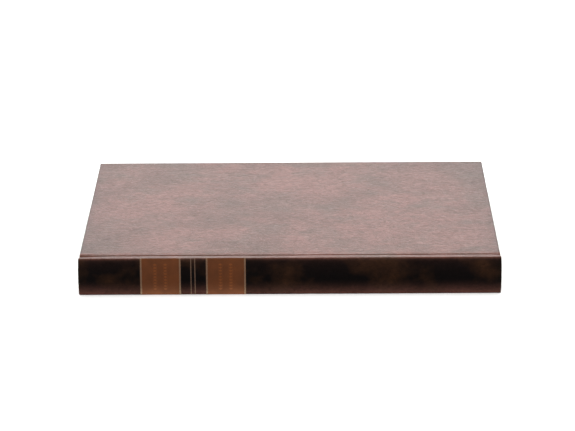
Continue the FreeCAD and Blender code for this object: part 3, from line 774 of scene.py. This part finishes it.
def tooling(x, z, centre, size):
    """How deep the blind tooling is, from 0 to 1: two columns of lozenges, with two dots between each two."""
    depth = np.zeros_like(x)
    pitch = 0.68 * size
    rows = 4                        # above and below the middle one
    for column in (-1.15, 1.05):
        across = (x - centre) / size - column
        row = (z - MIDDLE) / pitch
        off = np.abs(row - np.round(row)) * pitch / size
        lozenge = 0.5 - np.abs(across) - 1.7 * off
        depth = np.maximum(depth, smoothstep(lozenge / 0.12) * (np.abs(np.round(row)) <= rows))
        across_dot = np.abs(np.abs(across) - 0.36)
        between = np.abs(row - 0.5 - np.round(row - 0.5)) * pitch / size
        dot = 0.1 - np.hypot(across_dot, between)
        depth = np.maximum(depth, smoothstep(dot / 0.06) * (np.abs(row) < rows))
    return depth


class STAMP_ALBUM_OT_labels(bpy.types.Operator):
    """Builds the two tan labels, blind tooled with lozenges in place of a title"""

    bl_idname = "stamp_album.labels"
    bl_label = "Spine labels"

    def execute(self, context):
        spine = context.scene.album_spine
        for name in ("upper", "lower"):
            low, high = BOX[f"spine_label_{name}"]
            x = np.linspace(low.x, high.x, 130)
            z = face_heights(119, 5, LABEL_EDGE)
            across, up = np.meshgrid(x, z, indexing="ij")
            tooled = tooling(across, up, (low.x + high.x) / 2, spine.lozenge)
            grid = on_spine(across, up, 0.06 * MM - 0.075 * MM * tooled)
            # painted light: the label paler towards the foot, a painted reflection of the floor
            made = sheets(f"label_{name}", [grid], 0.1 * MM, label_leather(),
                          {"tooled": tooled, "painted_light": spine_painted_light(up, 0)})
            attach(made, "spine")
            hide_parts(f"spine_label_{name}")
        return {"FINISHED"}


class STAMP_ALBUM_OT_gilt_lines(bpy.types.Operator):
    """Builds the gilt lines: one along both edges of each label, and two thin ones between the labels"""

    bl_idname = "stamp_album.gilt_lines"
    bl_label = "Gilt lines"

    def execute(self, context):
        border, thin = 1.2 * MM, 0.6 * MM
        first, second = BOX["spine_label_upper"], BOX["spine_label_lower"]
        middle = (first[1].x + second[0].x) / 2
        places = [(side.x, border, 0.1 * MM, 0) for low, high in (first, second)
                  for side in (low + Vector((border / 2, 0, 0)), high - Vector((border / 2, 0, 0)))]
        places += [(middle - 1.75 * MM + k * 2.9 * MM, thin, 0, 0.45) for k in range(2)]
        z = face_heights(87, 5, LABEL_EDGE)
        for number, (x, width, lift, rubbed) in enumerate(places, start=1):
            across, up = np.meshgrid(np.linspace(-0.5, 0.5, 7), z, indexing="ij")
            edge = points_at(np.sign(across) + number, 0, up)
            uneven = 1 + 0.16 * ripple(edge, 1.5 * MM, 20 + number)
            grid = on_spine(x + across * width * uneven, up, lift + 0.03 * MM)
            # painted light on the lines towards the foot, a painted reflection of the floor
            made = sheets(f"gilt_line_{number}", [grid], 0.04 * MM, gilt_foil(),
                          {"painted_light": spine_painted_light(up, 0), "wear": np.full_like(up, rubbed)})
            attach(made, "spine")
            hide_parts("gilt_lines")
        return {"FINISHED"}


# ------------ endpapers


class STAMP_ALBUM_OT_endpapers(bpy.types.Operator):
    """Papers the linings and flyleaves, and builds the fold of paper over each joint"""

    bl_idname = "stamp_album.endpapers"
    bl_label = "Endpapers"

    def execute(self, context):
        thickness = 0.2 * MM
        block_edge = BOX["mull_lining"][1].y + 0.35 * MM
        lining = BOX["back_pastedown"][1].z - 0.1 * MM
        leaf_low, leaf_high = BOX["back_flyleaf"]
        leaf = (leaf_low.z + leaf_high.z) / 2
        floor = lining - 0.6 * MM
        path = curve_through([
            (BOARD_EDGE, lining), (BOARD_EDGE - 0.7 * MM, lining - 0.2 * MM), (BOARD_EDGE - 1.6 * MM, floor),
            (BOARD_EDGE - 3.0 * MM, floor), (block_edge + 1.6 * MM, floor + 0.05 * MM),
            (block_edge + 0.5 * MM, floor + 0.4 * MM), (block_edge, leaf - 0.25 * MM),
            (block_edge + 0.5 * MM, leaf), (block_edge + 3 * MM, leaf), (BOARD_EDGE, leaf)], 4)
        x = np.linspace(leaf_low.x, leaf_high.x, 60)
        for side in ("front", "back"):
            for part in ("pastedown", "flyleaf"):
                texture(f"{side}_{part}", endpaper())
            grid = points_at(x, path[:, 0, None], outer_z(side, path[:, 1, None]))
            made = sheets(f"{side}_endpaper_fold", [grid], thickness, endpaper())
            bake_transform(made)
        return {"FINISHED"}


# ------------ back of the block


class STAMP_ALBUM_OT_block_back(bpy.types.Operator):
    """Finishes the kraft liner, mull, sewing tapes and card guards"""

    bl_idname = "stamp_album.block_back"
    bl_label = "Back of the block"

    def execute(self, context):
        texture("kraft_liner", kraft_paper())
        texture("mull_lining", mull())
        texture("sewing_tapes", linen("XZ"))
        texture("guard_stubs", stock_card())
        soften("guard_stubs", 0.1 * MM)
        return {"FINISHED"}


class STAMP_ALBUM_OT_headbands(bpy.types.Operator):
    """Builds the headbands: silk wound over a cord, on a strip of cloth"""

    bl_idname = "stamp_album.headbands"
    bl_label = "Headbands"

    def execute(self, context):
        for end, outward in (("head", -1), ("tail", 1)):
            low, high = BOX[f"headband_{end}"]
            radius = 1.0 * MM
            centre = Vector((low.x + radius if outward < 0 else high.x - radius, high.y - radius, 0))
            z = np.linspace(low.z, high.z, 300)
            angle = np.linspace(0, 2 * math.pi, 20, endpoint=False)
            up, round_it = np.meshgrid(z, angle, indexing="ij")
            to_tip = np.minimum(up - low.z, high.z - up) / radius
            dome = np.sqrt(np.clip(1 - (1 - np.minimum(to_tip, 1)) ** 2, 0.02, 1))
            thread = up / (0.42 * MM) + round_it / (2 * math.pi)
            bulge = radius * dome * (0.9 + 0.1 * np.abs(np.sin(np.pi * thread)))
            points = points_at(centre.x + bulge * np.cos(round_it), centre.y + bulge * np.sin(round_it), up)
            index = np.arange(up.size).reshape(up.shape)
            faces = quads(np.hstack([index, index[:, :1]])) + [index[0].tolist(), index[-1].tolist()]
            turn = np.mod(thread / 5, 1)
            made = piece(f"headband_{end}_bead", points, faces, headband_silk(), {"turn": turn})
            edge = high.x if outward < 0 else low.x
            tall, x = np.meshgrid(np.linspace(low.z, high.z, 40), np.linspace(centre.x, edge, 12))
            y = low.y + 0.1 * MM + 0.03 * MM * ripple(points_at(x, 0, tall), 3 * MM, 31)
            cloth = sheets(f"headband_{end}_cloth", [points_at(x, y, tall)], 0.18 * MM, linen("XZ"))
            for part in (made, cloth):
                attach(part, "spine")
                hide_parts(f"headband_{end}")
        return {"FINISHED"}


# ------------ leaves


class STAMP_ALBUM_OT_linen_hinges(bpy.types.Operator):
    """Builds the linen that joins each card to its guard, bending at the guard's tip"""

    bl_idname = "stamp_album.linen_hinges"
    bl_label = "Linen hinges"

    def execute(self, context):
        wrap = context.scene.album_block.wrap
        layer = 0.12 * MM
        # how far a layer's middle lies from the hinge's height: at the hinge, on a guard, and on a card
        bend = layer / 2
        guard = 0.6 * MM + layer / 2
        back = BOX["guard_stubs"][0].y
        for leaf in LEAVES:
            hinge = HINGE[leaf]
            low, high = BOX[f"{leaf}_card"]
            card = (high.z - low.z) / 2 + layer / 2
            tip = hinge.y - 0.3 * MM
            root = max(back + 0.1 * MM, tip - 4 * MM)
            path = [(root, guard), (tip - 1 * MM, guard)]
            path += [(tip - 0.1 * MM, guard), (tip + 0.12 * MM, 0.75 * guard)]
            path += [(y, bend) for y in np.linspace(hinge.y, hinge.y + 1.0 * MM, 6)]
            path += [(y, bend) for y in np.arange(hinge.y + 2 * MM, low.y - 0.8 * MM, 1.2 * MM)]
            path += [(low.y - 0.15 * MM, 0.8 * card), (low.y + 0.1 * MM, card), (low.y + wrap / 2, card),
                     (low.y + wrap, card)]
            x = np.linspace(low.x + 1 * MM, high.x - 1 * MM, 150)
            run, half = np.array(path).T
            across, y = np.meshgrid(x, run, indexing="ij")
            grids = [points_at(across, y, hinge.z + face * half) for face in (1, -1)]
            made = sheets(f"{leaf}_linen_hinge", grids, layer, linen("XY"))
            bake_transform(made)
            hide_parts("linen_hinges")
        return {"FINISHED"}


def pocket_strips(leaf):
    """The glassine strips on both sides of a card: glued along the foot, open by a hair at the mouth."""
    block = bpy.context.scene.album_block
    card_low, card_high = BOX[f"{leaf}_card"]
    low, high = BOX[f"{leaf}_strips"]
    rows = 9
    height = 25 * MM
    pitch = (high.x - low.x - height) / (rows - 1)
    down = np.linspace(0, 1, 9)
    width = np.linspace(low.y, high.y, 26)
    up, y = np.meshgrid(down, width, indexing="ij")
    held = smoothstep(np.minimum(y - low.y, high.y - y) / (9 * MM))
    paper = 0.04 * MM
    grids = []
    for row in range(rows):
        x = high.x - row * pitch - up * height
        for outward, base in ((1, card_high.z), (-1, card_low.z)):
            place = points_at(x, y, outward * LEAVES.index(leaf))
            wave = 0.75 + 0.5 * ripple(place, 40 * MM, row + 2)
            off = paper + block.lift * held * wave * up ** 1.5
            grids.append(points_at(x, y, base + outward * off))
    made = sheets(f"{leaf}_pocket_strips", grids, paper, glassine())
    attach(made, leaf)
    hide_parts(f"{leaf}_strips")


class STAMP_ALBUM_OT_leaves(bpy.types.Operator):
    """Finishes the cards, their pocket strips and the glassine sheets between them"""

    bl_idname = "stamp_album.leaves"
    bl_label = "Leaves"

    def execute(self, context):
        for leaf in LEAVES:
            texture(f"{leaf}_card", stock_card())
            soften(f"{leaf}_card", 0.1 * MM)
            texture(f"{leaf}_interleaf", glassine())
            pocket_strips(leaf)
        return {"FINISHED"}


# ------------ stage


def softbox(name, place, target, size, power):
    """A rectangular light at place, turned towards target."""
    light = bpy.data.lights.new(name, "AREA")
    light.shape = "RECTANGLE"
    light.size, light.size_y = size
    light.energy = power
    made = bpy.data.objects.new(name, light)
    made.location = place
    made.rotation_euler = (Vector(target) - Vector(place)).to_track_quat("-Z", "Y").to_euler()
    bpy.context.scene.collection.objects.link(made)


class STAMP_ALBUM_OT_stage(bpy.types.Operator):
    """Lays a plain pale floor, hangs two softboxes and sets the camera"""

    bl_idname = "stamp_album.stage"
    bl_label = "Stage"

    def execute(self, context):
        stage = context.scene.album_stage
        reach = 6.0
        corners = [(-reach, -reach, 0), (reach, -reach, 0), (reach, reach, 0), (-reach, reach, 0)]
        floor = piece("floor", corners, [(0, 1, 2, 3)], floor_vinyl())
        softbox("top_softbox", place=(0, -0.4, 1.5), target=(0, -0.1, 0), size=(2.0, 1.5),
                power=stage.top_light)
        softbox("back_softbox", place=(0, 1.85, 0.95), target=(0, 0, 0), size=(2.6, 1.2),
                power=stage.back_light)
        world = bpy.data.worlds.new("Studio")
        world.use_nodes = True
        sky = world.node_tree.nodes["Background"]
        sky.inputs["Color"].default_value = linear("ffffff")
        sky.inputs["Strength"].default_value = stage.surround
        context.scene.world = world
        context.scene.view_settings.view_transform = "Standard"
        lens = bpy.data.cameras.new("Camera")
        lens.sensor_width = 36
        lens.lens = stage.focal
        camera = bpy.data.objects.new("Camera", lens)
        place = Matrix.Translation((stage.camera_side, -stage.camera_back, stage.camera_height))
        aim = Matrix.Rotation(stage.yaw, 4, "Z") @ Matrix.Rotation(math.pi / 2 - stage.pitch, 4, "X")
        camera.matrix_world = place @ aim @ Matrix.Rotation(stage.roll, 4, "Z")
        context.scene.collection.objects.link(camera)
        context.scene.camera = camera
        return {"FINISHED"}


# ------------ add-on


OPERATORS = (STAMP_ALBUM_OT_stage, STAMP_ALBUM_OT_covers, STAMP_ALBUM_OT_joints, STAMP_ALBUM_OT_spine,
             STAMP_ALBUM_OT_labels, STAMP_ALBUM_OT_gilt_lines, STAMP_ALBUM_OT_endpapers,
             STAMP_ALBUM_OT_block_back, STAMP_ALBUM_OT_headbands, STAMP_ALBUM_OT_linen_hinges,
             STAMP_ALBUM_OT_leaves)
SETTINGS = {"album_covers": AlbumCovers, "album_spine": AlbumSpine, "album_block": AlbumBlock,
            "album_stage": AlbumStage}


class STAMP_ALBUM_PT_sidebar(bpy.types.Panel):
    """Settings and build steps of the album"""

    bl_label = "Stamp Album"
    bl_idname = "STAMP_ALBUM_PT_sidebar"
    bl_space_type = "VIEW_3D"
    bl_region_type = "UI"
    bl_category = "Stamp Album"

    def draw(self, context):
        for name, group in SETTINGS.items():
            box = self.layout.box()
            box.label(text=group.__doc__)
            for key in group.__annotations__:
                box.prop(getattr(context.scene, name), key)
        for operator in OPERATORS:
            self.layout.operator(operator.bl_idname)


CLASSES = (*SETTINGS.values(), *OPERATORS, STAMP_ALBUM_PT_sidebar)


def register():
    for each in CLASSES:
        bpy.utils.register_class(each)
    for name, group in SETTINGS.items():
        setattr(bpy.types.Scene, name, PointerProperty(type=group))


def unregister():
    for name in SETTINGS:
        delattr(bpy.types.Scene, name)
    for each in reversed(CLASSES):
        bpy.utils.unregister_class(each)


def main():
    """Builds every piece in turn."""
    register()
    for operator in OPERATORS:
        area, name = operator.bl_idname.split(".")
        getattr(getattr(bpy.ops, area), name)()


if __name__ == "__main__":
    main()
